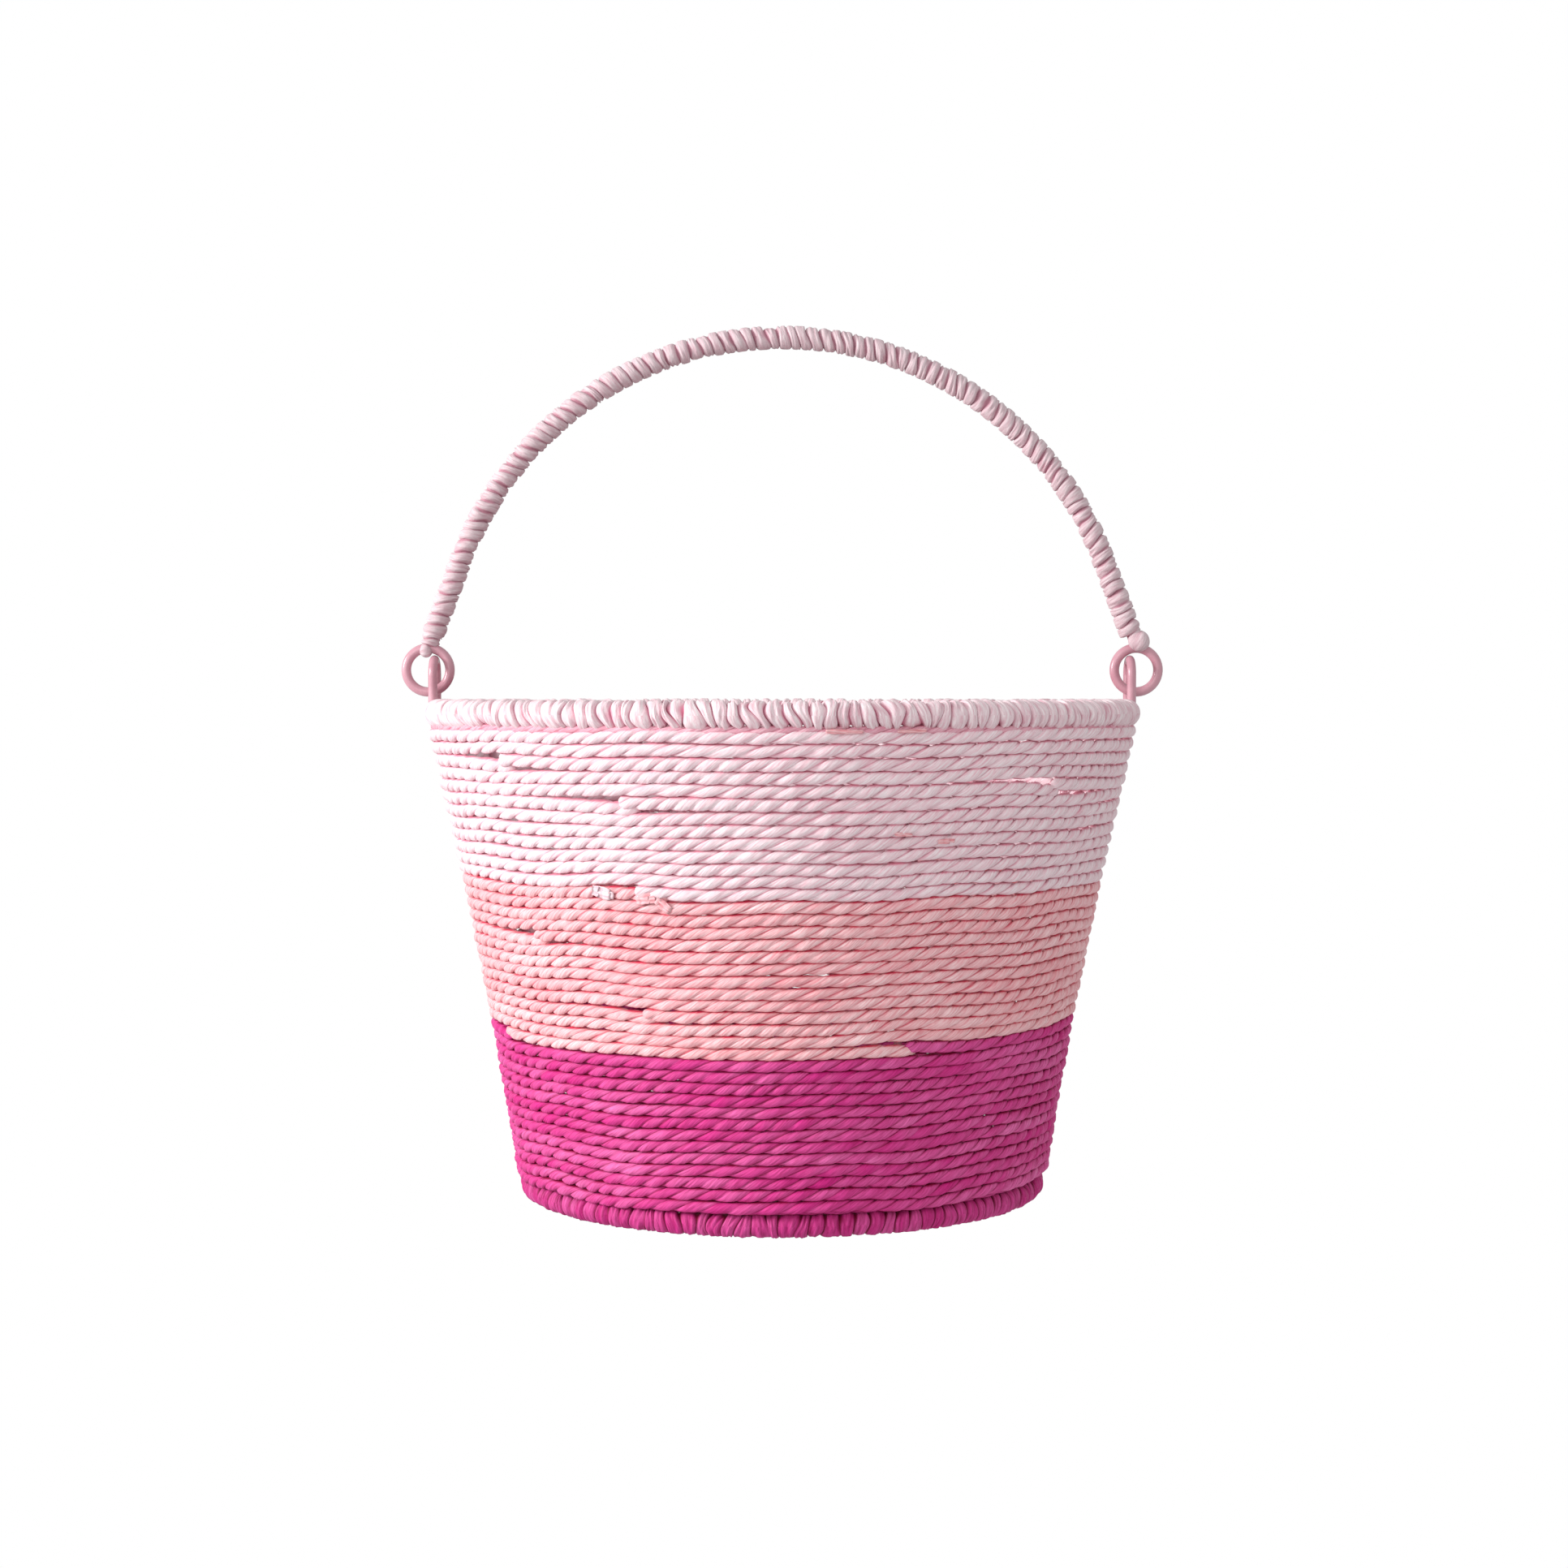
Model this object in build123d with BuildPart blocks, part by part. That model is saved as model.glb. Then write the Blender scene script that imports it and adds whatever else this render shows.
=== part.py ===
"""A bucket-shaped basket of twisted paper rope, wound on a welded wire frame.

The rim, the base ring and the arched handle are wires wrapped in paper strip.
The handle ends in two closed eyes, each linked through a wire eyelet on the rim.
Frame: +Z up, origin on the ground under the middle, X from one handle end to the
other. Millimetres.
"""

from build123d import *
import os
from math import acos, atan2, cos, degrees, radians, sin, sqrt

# Rim and base rings, each a wire hoop with paper strip bound round it
RIM_RADIUS = 110.15
RIM_HEIGHT = 154.0
RIM_WIRE = 4.0
RIM_BINDING = 8.3
BASE_RADIUS = 80.2
BASE_WIRE = 3.5
BASE_BINDING = 7.6
BASE_FLAT_DEPTH = 0.15

# Uprights and base bars
RIB_COUNT = 8
RIB_WIRE = 2.5
RIB_START_ANGLE = 22.5
RIB_END_BELOW_RIM = 1.0
BAR_WIRE = 2.5

# Rope wall: three bands of rope wound round the outside of the ribs
ROPE = 3.72
BANDS = ("lower_rope", "middle_rope", "upper_rope")
ROPE_OUTSIDE_RIM = 0.8
ROPE_OUTSIDE_RIBS = 0.54
WALL_HOLLOW = 1.4
BASE_RING_GAP = 1.0
GLUE_GAP = 0.1
JOIN_WIDTH = 1.4

# Eyelets: upside-down U wires standing on the rim hoop
EYELET_WIRE = 2.9
EYELET_OUTSIDE_RIM = 1.95
EYELET_HALF_WIDTH = 5.0
EYELET_FOOT_ABOVE_RIM = 0.5

# Handle: one wire, an arc with two straight arms and a closed eye at each end
HANDLE_WIRE = 3.1
HANDLE_BINDING = 7.2
HANDLE_RISE = 120.5
HANDLE_ARC_INSIDE_EYES = 3.4
EYE_RADIUS = 7.05
EYE_OUTSIDE_EYELET = 2.1
EYE_ABOVE_RIM_BINDING = 1.05
EYE_EYELET_CLEARANCE = 0.15
STRIP_START = 4.6
KNOT_RADIUS = 3.1
KNOT_PLACE = 2.6
TAIL_RADIUS = 2.8
TAIL_PLACE = 2.8

# Places worked out from the sizes above
base_z = BASE_BINDING / 2 - BASE_FLAT_DEPTH
rib_offset = (ROPE + RIB_WIRE) / 2 + GLUE_GAP
wall_bottom_radius = BASE_RADIUS + rib_offset + ROPE_OUTSIDE_RIBS
wall_top_radius = RIM_RADIUS + ROPE_OUTSIDE_RIM


def rise(distance, sideways):
    """Height between two centres a given distance apart, one of them further out."""
    return sqrt(distance**2 - sideways**2)


wall_bottom_z = base_z + rise(
    (BASE_BINDING + ROPE) / 2 + BASE_RING_GAP, wall_bottom_radius - BASE_RADIUS
)
wall_top_z = RIM_HEIGHT - rise(
    (RIM_BINDING + ROPE) / 2 + GLUE_GAP, wall_top_radius - RIM_RADIUS
)
wall_height = wall_top_z - wall_bottom_z
wall_slope = (wall_top_radius - wall_bottom_radius) / wall_height


def wall_radius(z):
    """Radius of the rope's centre line at height z, a little hollow half-way up."""
    t = (z - wall_bottom_z) / wall_height
    straight = wall_bottom_radius + (wall_top_radius - wall_bottom_radius) * t
    return straight - 4 * WALL_HOLLOW * t * (1 - t)


def rib_radius(z):
    """Radius of an upright's centre line at height z, inside the rope."""
    return wall_radius(z) - rib_offset * sqrt(1 + wall_slope**2)


# Hinge: each eye hangs in its eyelet, and turns about the line through both
eyelet_x = RIM_RADIUS + EYELET_OUTSIDE_RIM
eye_x = eyelet_x + EYE_OUTSIDE_EYELET
eye_z = (
    RIM_HEIGHT
    + RIM_BINDING / 2
    + EYE_ABOVE_RIM_BINDING
    + HANDLE_WIRE / 2
    + EYE_RADIUS
)
hinge_z = eye_z - rise(EYE_RADIUS, EYE_OUTSIDE_EYELET)
eye_room = EYE_RADIUS - (HANDLE_WIRE + EYELET_WIRE) / 2 - EYE_EYELET_CLEARANCE
eyelet_top_z = eye_z + rise(eye_room, EYE_OUTSIDE_EYELET)
print("hinge axis height", round(hinge_z, 3), "eyelet top", round(eyelet_top_z, 3))

os.makedirs("parts", exist_ok=True)


def save(piece, name):
    """Label a finished piece and write it as its own file."""
    piece.label = name
    export_step(piece, f"parts/{name}.step")


# Hoops
with BuildPart() as rim_hoop:
    with Locations((0, 0, RIM_HEIGHT)):
        Torus(RIM_RADIUS, RIM_WIRE / 2)
save(rim_hoop.part, "rim_hoop")

with BuildPart() as base_hoop:
    with Locations((0, 0, base_z)):
        Torus(BASE_RADIUS, BASE_WIRE / 2)
save(base_hoop.part, "base_hoop")

# Uprights: each stands on the base hoop and ends against the rim hoop
rib_foot_z = base_z
rib_head_z = RIM_HEIGHT - RIB_END_BELOW_RIM
rib_middle_z = (rib_foot_z + rib_head_z) / 2
ribs = []
for index in range(RIB_COUNT):
    angle = radians(RIB_START_ANGLE + index * 360 / RIB_COUNT)
    rib_plane = Plane(
        origin=(0, 0, 0),
        x_dir=(cos(angle), sin(angle), 0),
        z_dir=(sin(angle), -cos(angle), 0),
    )
    with BuildPart() as rib:
        with BuildLine(rib_plane) as rib_line:
            ThreePointArc(
                (rib_radius(rib_foot_z), rib_foot_z),
                (rib_radius(rib_middle_z), rib_middle_z),
                (rib_radius(rib_head_z), rib_head_z),
            )
        with BuildSketch(Plane(origin=rib_line.line @ 0, z_dir=rib_line.line % 0)):
            Circle(RIB_WIRE / 2)
        sweep(path=rib_line.line)
        add(base_hoop.part, mode=Mode.SUBTRACT)
        add(rim_hoop.part, mode=Mode.SUBTRACT)
    ribs.append(rib.part)
    save(rib.part, f"rib_{index + 1}")

# Base bars: one right across, and two halves butted against it
with BuildPart() as base_bar_long:
    with Locations(Plane(origin=(0, 0, base_z), z_dir=(1, 0, 0))):
        Cylinder(BAR_WIRE / 2, 2 * BASE_RADIUS)
    add(base_hoop.part, mode=Mode.SUBTRACT)
save(base_bar_long.part, "base_bar_long")

half_bars = []
for name, side in (("base_bar_front", -1), ("base_bar_back", 1)):
    with BuildPart() as half_bar:
        with Locations(Plane(origin=(0, 0, base_z), z_dir=(0, side, 0))):
            Cylinder(
                BAR_WIRE / 2,
                BASE_RADIUS,
                align=(Align.CENTER, Align.CENTER, Align.MIN),
            )
        add(base_hoop.part, mode=Mode.SUBTRACT)
        add(base_bar_long.part, mode=Mode.SUBTRACT)
    # A shaving is left on the far side of the long bar, and is dropped
    bar = half_bar.part.solids().sort_by(SortBy.VOLUME)[-1]
    half_bars.append(bar)
    save(bar, name)

# Eyelets
eyelets = []
for name, side in (("left_eyelet", -1), ("right_eyelet", 1)):
    foot_z = RIM_HEIGHT + EYELET_FOOT_ABOVE_RIM
    arch_z = eyelet_top_z - EYELET_HALF_WIDTH
    eyelet_plane = Plane(
        origin=(side * eyelet_x, 0, 0), x_dir=(0, 1, 0), z_dir=(1, 0, 0)
    )
    with BuildPart() as eyelet:
        with BuildLine(eyelet_plane) as eyelet_line:
            Line((-EYELET_HALF_WIDTH, foot_z), (-EYELET_HALF_WIDTH, arch_z))
            ThreePointArc(
                (-EYELET_HALF_WIDTH, arch_z),
                (0, eyelet_top_z),
                (EYELET_HALF_WIDTH, arch_z),
            )
            Line((EYELET_HALF_WIDTH, arch_z), (EYELET_HALF_WIDTH, foot_z))
        with BuildSketch(
            Plane(
                origin=(side * eyelet_x, -EYELET_HALF_WIDTH, foot_z),
                z_dir=(0, 0, 1),
            )
        ):
            Circle(EYELET_WIRE / 2)
        sweep(path=eyelet_line.wires()[0])
        add(rim_hoop.part, mode=Mode.SUBTRACT)
    eyelets.append(eyelet.part)
    save(eyelet.part, name)

# Bindings of paper strip, hollow where the wires run through them
with BuildPart() as rim_binding:
    with Locations((0, 0, RIM_HEIGHT)):
        Torus(RIM_RADIUS, RIM_BINDING / 2)
    add(rim_hoop.part, mode=Mode.SUBTRACT)
    add(ribs, mode=Mode.SUBTRACT)
    add(eyelets, mode=Mode.SUBTRACT)
save(rim_binding.part, "rim_binding")

with BuildPart() as base_binding:
    with Locations((0, 0, base_z)):
        Torus(BASE_RADIUS, BASE_BINDING / 2)
    split(bisect_by=Plane.XY, keep=Keep.TOP)
    add(base_hoop.part, mode=Mode.SUBTRACT)
    add(ribs, mode=Mode.SUBTRACT)
    add(base_bar_long.part, mode=Mode.SUBTRACT)
    add(half_bars, mode=Mode.SUBTRACT)
save(base_binding.part, "base_binding")

# Rope wall: courses of equal thickness stacked along a slightly hollow slope
with BuildLine(Plane.XZ) as wall_line:
    wall_middle_z = (wall_bottom_z + wall_top_z) / 2
    ThreePointArc(
        (wall_bottom_radius, wall_bottom_z),
        (wall_radius(wall_middle_z), wall_middle_z),
        (wall_top_radius, wall_top_z),
    )
wall_arc = wall_line.edges()[0]
band_courses = round((wall_arc.length / ROPE + 1) / len(BANDS))
course_count = band_courses * len(BANDS)
course = wall_arc.length / (course_count - 1)
places = [wall_arc @ (i / (course_count - 1)) for i in range(course_count)]
course_centres = [(place.X, place.Z) for place in places]
print("courses in a band", band_courses, "course thickness", round(course, 3))

for band, name in enumerate(BANDS):
    centres = course_centres[band * band_courses : (band + 1) * band_courses]
    with BuildPart() as rope_band:
        with BuildSketch(Plane.XZ):
            with BuildLine():
                Polyline(*centres)
            trace(line_width=JOIN_WIDTH)
            with Locations(*centres):
                Circle(course / 2)
        revolve(axis=Axis.Z)
    save(rope_band.part, name)

# Base rope: a flat coil that lies on the bars, inside the base binding
base_rope_z = base_z + (BAR_WIRE + ROPE) / 2 + GLUE_GAP
outer_turn_radius = BASE_RADIUS - rise(
    (BASE_BINDING + ROPE) / 2 + GLUE_GAP, base_rope_z - base_z
)
turn_count = round(outer_turn_radius / ROPE)
turn = outer_turn_radius / turn_count
with BuildPart() as base_rope:
    with BuildSketch(Plane.XZ):
        with Locations((outer_turn_radius / 2, base_rope_z)):
            Rectangle(outer_turn_radius, JOIN_WIDTH)
        with Locations(*[(turn * i, base_rope_z) for i in range(1, turn_count + 1)]):
            Circle(turn / 2)
    revolve(axis=Axis.Z)
save(base_rope.part, "base_rope")

# Handle wire: straight arms run down from the arc to the top of each eye
arc_radius = eye_x - HANDLE_ARC_INSIDE_EYES
arc_z = RIM_HEIGHT + HANDLE_RISE - arc_radius
eye_top = Vector(eye_x, eye_z + EYE_RADIUS)
arm_reach = (eye_top - Vector(0, arc_z)).length
arm_angle = degrees(
    atan2(eye_top.Y - arc_z, eye_top.X) + acos(arc_radius / arm_reach)
)
arm_up = Vector(-sin(radians(arm_angle)), cos(radians(arm_angle)))


def arm_point(distance, side):
    """Point on an arm, a distance up from the top of its eye."""
    place = eye_top + arm_up * distance
    return (side * place.X, place.Y)


def handle_line(distance):
    """The handle's centre line, starting a distance up each arm."""
    with BuildLine(Plane.XZ) as line:
        arc = CenterArc(
            (0, arc_z), arc_radius, arm_angle, 180 - 2 * arm_angle
        )
        Line(arm_point(distance, 1), ((arc @ 0).X, (arc @ 0).Z))
        Line(((arc @ 1).X, (arc @ 1).Z), arm_point(distance, -1))
    return line.wires()[0]


def start_plane(distance):
    """Plane square to the right arm, a distance up from its eye."""
    x, z = arm_point(distance, 1)
    return Plane(origin=(x, 0, z), z_dir=(arm_up.X, 0, arm_up.Y))


with BuildPart() as handle_wire:
    with BuildSketch(start_plane(0)):
        Circle(HANDLE_WIRE / 2)
    sweep(path=handle_line(0))
    for side in (-1, 1):
        with Locations(Plane(origin=(side * eye_x, 0, eye_z), z_dir=(0, 1, 0))):
            Torus(EYE_RADIUS, HANDLE_WIRE / 2)
save(handle_wire.part, "handle_wire")

with BuildPart() as handle_binding:
    with BuildSketch(start_plane(STRIP_START)):
        Circle(HANDLE_BINDING / 2)
    sweep(path=handle_line(STRIP_START))
    add(handle_wire.part, mode=Mode.SUBTRACT)
save(handle_binding.part, "handle_binding")

# Ends of the handle's strip: a tied knot on the right, a glued tail on the left
strip_ends = (
    ("strip_tail", -1, TAIL_PLACE, TAIL_RADIUS),
    ("strip_knot", 1, KNOT_PLACE, KNOT_RADIUS),
)
for name, side, distance, radius in strip_ends:
    x, z = arm_point(distance, side)
    with BuildPart() as strip_end:
        with Locations((x, 0, z)):
            Sphere(radius)
        add(handle_wire.part, mode=Mode.SUBTRACT)
        add(handle_binding.part, mode=Mode.SUBTRACT)
    whole = strip_end.part.solids().sort_by(SortBy.VOLUME)[-1]
    save(whole, name)
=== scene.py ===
import math

import bpy
import numpy as np
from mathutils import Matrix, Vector


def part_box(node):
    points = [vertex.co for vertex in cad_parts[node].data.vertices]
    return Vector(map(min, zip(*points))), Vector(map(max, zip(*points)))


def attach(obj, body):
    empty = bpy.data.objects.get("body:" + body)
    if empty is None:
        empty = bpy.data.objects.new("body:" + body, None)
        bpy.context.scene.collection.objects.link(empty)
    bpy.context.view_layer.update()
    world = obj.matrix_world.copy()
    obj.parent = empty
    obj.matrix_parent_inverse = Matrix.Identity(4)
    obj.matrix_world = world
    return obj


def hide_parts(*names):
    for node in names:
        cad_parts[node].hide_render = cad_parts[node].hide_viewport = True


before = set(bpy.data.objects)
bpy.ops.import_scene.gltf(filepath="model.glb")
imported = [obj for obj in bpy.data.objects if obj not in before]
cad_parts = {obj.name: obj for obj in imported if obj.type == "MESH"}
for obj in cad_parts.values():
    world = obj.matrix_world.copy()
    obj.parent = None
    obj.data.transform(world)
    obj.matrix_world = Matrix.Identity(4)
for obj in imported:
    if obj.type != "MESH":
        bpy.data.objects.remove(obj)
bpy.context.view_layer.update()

# Sizes are in metres. Places come from the frame.
MM = 0.001


# --- Places and sizes read from the frame -------------------------------------------


def ring_sizes(node):
    """(ring radius, height of its centre) of a wire hoop."""
    low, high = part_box(node)
    wire = (high[2] - low[2]) / 2
    return high[0] - wire, (high[2] + low[2]) / 2


rim_radius, rim_z = ring_sizes("rim_hoop")
base_radius, base_z = ring_sizes("base_hoop")
rim_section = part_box("rim_binding")[1][2] - rim_z
base_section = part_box("base_binding")[1][2] - base_z

BANDS = ("upper_rope", "middle_rope", "lower_rope")
BAND_COURSES = 13
course_count = BAND_COURSES * len(BANDS)
wall_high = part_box("upper_rope")[1][2]
wall_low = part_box("lower_rope")[0][2]
course_rise = (wall_high - wall_low) / course_count
top_z = wall_high - course_rise / 2
band_tops = np.array([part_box(name)[1] for name in BANDS])
wall_curve = np.polyfit(
    band_tops[:, 2] - course_rise / 2, band_tops[:, 0] - course_rise / 2, 2
)


def wall_radius(z):
    """Radius of the rope's centre line at height z."""
    return np.polyval(wall_curve, z)


handle_low, handle_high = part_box("handle_wire")
handle_wire = (handle_high[1] - handle_low[1]) / 2
handle_section = (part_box("handle_binding")[1][1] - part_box("handle_binding")[0][1]) / 2
# Radius of an eye's wire centre line, how far the arc's ends lie inside the eyes' centres,
# and where the binding starts after the end of the wire.
EYE_RADIUS = 7.05 * MM
ARC_INSIDE_EYES = 3.4 * MM
BINDING_START = 4.6 * MM
eye_x = handle_high[0] - handle_wire - EYE_RADIUS
eye_z = handle_low[2] + handle_wire + EYE_RADIUS
arc_radius = eye_x - ARC_INSIDE_EYES
arc_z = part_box("handle_binding")[1][2] - handle_section - arc_radius


# --- Random wandering ----------------------------------------------------------------


def wander(rng, length, step, places):
    """Smooth random values from about -1 to 1 at places along a length."""
    count = int(length / step) + 4
    knots = rng.uniform(-1, 1, count)
    at = places / step + 1
    whole = np.clip(np.floor(at).astype(int), 0, count - 2)
    part = at - whole
    part = part * part * (3 - 2 * part)
    return knots[whole] * (1 - part) + knots[whole + 1] * part


def wander_columns(rng, length, step, places, columns):
    """The same for many columns side by side: one row for each place."""
    return np.stack([wander(rng, length, step, places) for _ in range(columns)], axis=1)


# --- Making meshes ---------------------------------------------------------------------

# The free share of each row in the OFBake map.
BAKE_MARGIN = 0.04


def grid_piece(name, points, along, girth, closed, values, wound=False):
    """A tube from rings of points. along is each ring's distance, girth the way round.

    Paper runs along a rope, but round the tube where a strip is wound on it.
    """
    rings, columns = points.shape[:2]
    spans = rings if closed else rings - 1
    i, k = np.meshgrid(np.arange(spans), np.arange(columns), indexing="ij")
    after, beside = (i + 1) % rings, (k + 1) % columns
    corners = np.stack(
        [i * columns + k, i * columns + beside, after * columns + beside, after * columns + k],
        axis=-1,
    )
    faces = corners.reshape(-1, 4).tolist()
    if not closed:
        faces.append(list(range(columns))[::-1])
        faces.append([(rings - 1) * columns + c for c in range(columns)])
    mesh = bpy.data.meshes.new(name)
    mesh.from_pydata(points.reshape(-1, 3).tolist(), [], faces)
    mesh.shade_smooth()
    extra = 0 if closed else 2 * columns
    add_maps(mesh, i, k, along, girth, columns, spans, extra, wound)
    for label, numbers in values.items():
        layer = mesh.attributes.new(label, "FLOAT", "POINT")
        layer.data.foreach_set("value", numbers.astype(np.float32).ravel())
    piece = bpy.data.objects.new(name, mesh)
    bpy.context.scene.collection.objects.link(piece)
    return piece


def add_maps(mesh, i, k, along, girth, columns, spans, extra, wound):
    """Two UV maps: strand runs along and round in centimetres, OFBake packs in rows."""
    step = along[1] - along[0]
    ends = np.append(along, along[-1] + step)
    start, stop = ends[i], ends[i + 1]
    low, high = k / columns, (k + 1) / columns
    strand = np.stack([start, low, start, high, stop, high, stop, low], axis=-1)
    strand[..., 1::2] *= girth
    strand = strand.reshape(-1, 2) / (10 * MM)
    fill_map(mesh, "strand", strand[:, ::-1] if wound else strand, extra)
    rows = max(1, round(math.sqrt((ends[spans] - ends[0]) / girth)))
    row_length = (ends[spans] - ends[0]) / rows
    row = np.minimum(np.floor((start - ends[0]) / row_length + 1e-6), rows - 1)
    left = (start - ends[0]) / row_length - row
    right = np.minimum((stop - ends[0]) / row_length - row, 1)
    base = (row + BAKE_MARGIN / 2) / rows
    down = base + low * (1 - BAKE_MARGIN) / rows
    up = base + high * (1 - BAKE_MARGIN) / rows
    packed = np.stack([left, down, left, up, right, up, right, down], axis=-1)
    fill_map(mesh, "OFBake", packed.reshape(-1, 2), extra)


def fill_map(mesh, name, corners, extra):
    """A UV map with a place for each corner, and the end caps' corners at its origin."""
    layer = mesh.uv_layers.new(name=name)
    everything = np.concatenate([corners, np.zeros((extra, 2))])
    layer.uv.foreach_set("vector", everything.astype(np.float32).ravel())


def finish_piece(piece, body, material, nodes=()):
    """Give a piece its material, say what it rides on, and hide the frame parts that it stands for.
    """
    piece.data.materials.append(material)
    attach(piece, body)
    if nodes:
        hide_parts(*nodes)


# --- Twisted paper rope ------------------------------------------------------------------

ROPE_COLUMNS = 24
ROPE_STEP = 1.0 * MM
# One full turn of the two plies.
ROPE_LAY = 14.6 * MM
ROPE_FULLNESS = 1.07
# How far a rope is pressed flat against its neighbours: 0 not at all, 1 wholly.
PRESSED = 0.35
# The groove between the plies, and how much narrower a rope is across its plies.
CLEFT = 0.20
WAIST = 0.21
CREASE_DEPTH = 0.048


def two_plies(angle):
    """The outline of two plies pressed together, as a share of the rope's radius."""
    away = np.abs(np.sin(angle))
    return 1 - CLEFT * (1 - away**0.4) - WAIST * (1 - away)


def ply_shape(rng, drift, length, along, angle, first_ply):
    """The outline of a rope at each ring, with uneven plies and creases, near 1."""
    outline = two_plies(angle)
    depth = 1 + 0.30 * drift(9 * MM)
    ply_size = np.outer(1 + 0.12 * drift(6.5 * MM), first_ply)
    ply_size += np.outer(1 + 0.12 * drift(6.5 * MM), 1 - first_ply)
    shape = (1 - depth[:, None] * (1 - outline[None, :])) * ply_size
    crease = wander_columns(rng, length, 5 * MM, along, ROPE_COLUMNS)
    crease += 0.7 * wander_columns(rng, length, 2 * MM, along, ROPE_COLUMNS)
    return shape + CREASE_DEPTH * crease


def rope_piece(name, seed, path, out, up, thickness, reach):
    """A twisted two-ply paper rope along a path. out and up are unit vectors across it."""
    thickness = np.broadcast_to(thickness, len(path))
    rng = np.random.default_rng(seed)
    steps = np.linalg.norm(np.diff(path, axis=0), axis=1)
    along = np.concatenate([[0], np.cumsum(steps)])
    length = along[-1]

    def drift(step):
        return wander(rng, length, step, along)

    lay = ROPE_LAY * (1 + 0.15 * drift(70 * MM) + 0.20 * drift(17 * MM))
    twist = -2 * math.pi * np.cumsum(np.gradient(along) / lay)
    angle = 2 * math.pi * np.arange(ROPE_COLUMNS) / ROPE_COLUMNS
    half = thickness[:, None] / 2
    fullness = ROPE_FULLNESS * (1 + 0.045 * drift(45 * MM))
    first_ply = (np.sin(angle) > 0).astype(float)
    shape = ply_shape(rng, drift, length, along, angle, first_ply)
    radius = half * fullness[:, None] * shape
    radius = radius * end_shape(along, length, reach)[:, None]

    turned = angle[None, :] + twist[:, None]
    sideways = radius * np.cos(turned)
    upward = radius * np.sin(turned)
    top = upward.max(axis=1, keepdims=True) / (1.02 * half)
    bottom = -upward.min(axis=1, keepdims=True) / (1.02 * half)
    upward = upward / np.where(upward > 0, top, bottom) ** PRESSED
    points = path[:, None, :] + out[:, None, :] * sideways[..., None]
    points = points + up[:, None, :] * upward[..., None]

    # Painted shade: darkens the rope towards its deep colour where it presses on the courses above
    # and below, and in the groove between its plies.
    contact = np.clip((np.abs(upward) / half - 0.72) / 0.26, 0, 1) ** 1.4
    groove = np.clip((1 - shape) / (CLEFT + WAIST), 0, 1)
    cavity_shade = np.maximum(contact, 0.75 * groove**3)
    tone_and_highlight = np.outer(drift(30 * MM), np.ones(ROPE_COLUMNS))
    tone_and_highlight += np.outer(drift(7 * MM), 2 * first_ply - 1) * 0.8
    values = {"cavity_shade": cavity_shade, "tone_and_highlight": tone_and_highlight}
    return grid_piece(name, points, along, math.pi * thickness[0], False, values)


def end_shape(along, length, reach):
    """How much of its full thickness a rope has, as it narrows over a reach at each end."""
    shape = np.ones_like(along)
    for distance, narrowing in ((along, reach[0]), (length - along, reach[1])):
        part = np.clip(distance / narrowing, 0, 1)
        shape *= 0.25 + 0.75 * np.sqrt(part * (2 - part))
    return shape


# --- The rope wall -------------------------------------------------------------------------

# The wall is one spiral of joined lengths. Turns are counted from the top, each from the
# back round by the right, the front and the left. Every length is (colour, the turn where
# it ends, how far the next length starts before that, how far the joint spreads them).
ROPE_START = 0.12
ROPE_LENGTHS = (
    ("pink", 2.638, 0.008, 1.0),
    ("pink", 4.369, 0.008, 1.0),
    ("pink", 5.572, 0.009, 0.95),
    ("pink", 9.05, 0.008, 0.8),
    ("pink", 12.569, 0.017, 0.6),
    ("coral", 16.635, 0.008, 0.8),
    ("coral", 22.571, 0.008, 0.6),
    ("coral", 25.02, 0.008, 0.8),
    ("magenta", 25.436, 0.006, 0.5),
    ("coral", 25.686, 0.006, 0.6),
    ("magenta", 30.05, 0.008, 0.8),
    ("magenta", 34.93, 0.008, 0.8),
    ("magenta", 38.9, 0.0, 0.0),
)
BAND_OF = {"pink": "upper_rope", "coral": "middle_rope", "magenta": "lower_rope"}
# Lengths over which a rope's end narrows.
BLUNT_REACH = 2.4 * MM
THIN_REACH = 8 * MM
TUCKED_REACH = 12 * MM
# How far a course rises and falls along the wall, by the shared waves and by its own.
SHARED_LIFT = 0.42 * MM
OWN_LIFT = 0.07 * MM
# How much thicker the wall's ropes are than their spacing, so that they press together.
WALL_FULLNESS = 1.045

# The upper courses are spaced a little wider than the lower ones.
UPPER_SLACK = 0.78
UPPER_SLACK_FADE = 1.03

# Slits between two courses: (turn of the upper one, half length in turns, height).
SLITS = (
    (10.603, 0.012, 0.55 * MM),
    (6.672, 0.008, 0.60 * MM),
    (6.640, 0.007, 0.50 * MM),
    (3.41, 0.02, 0.30 * MM),
    (8.45, 0.02, 0.30 * MM),
    (9.44, 0.03, 0.40 * MM),
    (13.63, 0.02, 0.40 * MM),
    (7.33, 0.02, 0.50 * MM),
    (5.30, 0.02, 0.45 * MM),
    (18.32, 0.02, 0.40 * MM),
    (23.60, 0.02, 0.35 * MM),
)


def spiral_height(turn):
    """Height of the rope's centre line after so many turns."""
    course = turn - 0.5
    share = np.clip(course / (course_count - 1), 0, 1)
    slack = UPPER_SLACK * np.sin(math.pi * share) * (1 - UPPER_SLACK_FADE * share)
    return top_z - course_rise * (course + slack)


wave_rng = np.random.default_rng(77)
WAVES = [
    (wave_rng.integers(1, 15), wave_rng.uniform(-0.09, 0.09), wave_rng.uniform(0, 6.28))
    for _ in range(14)
]


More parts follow.
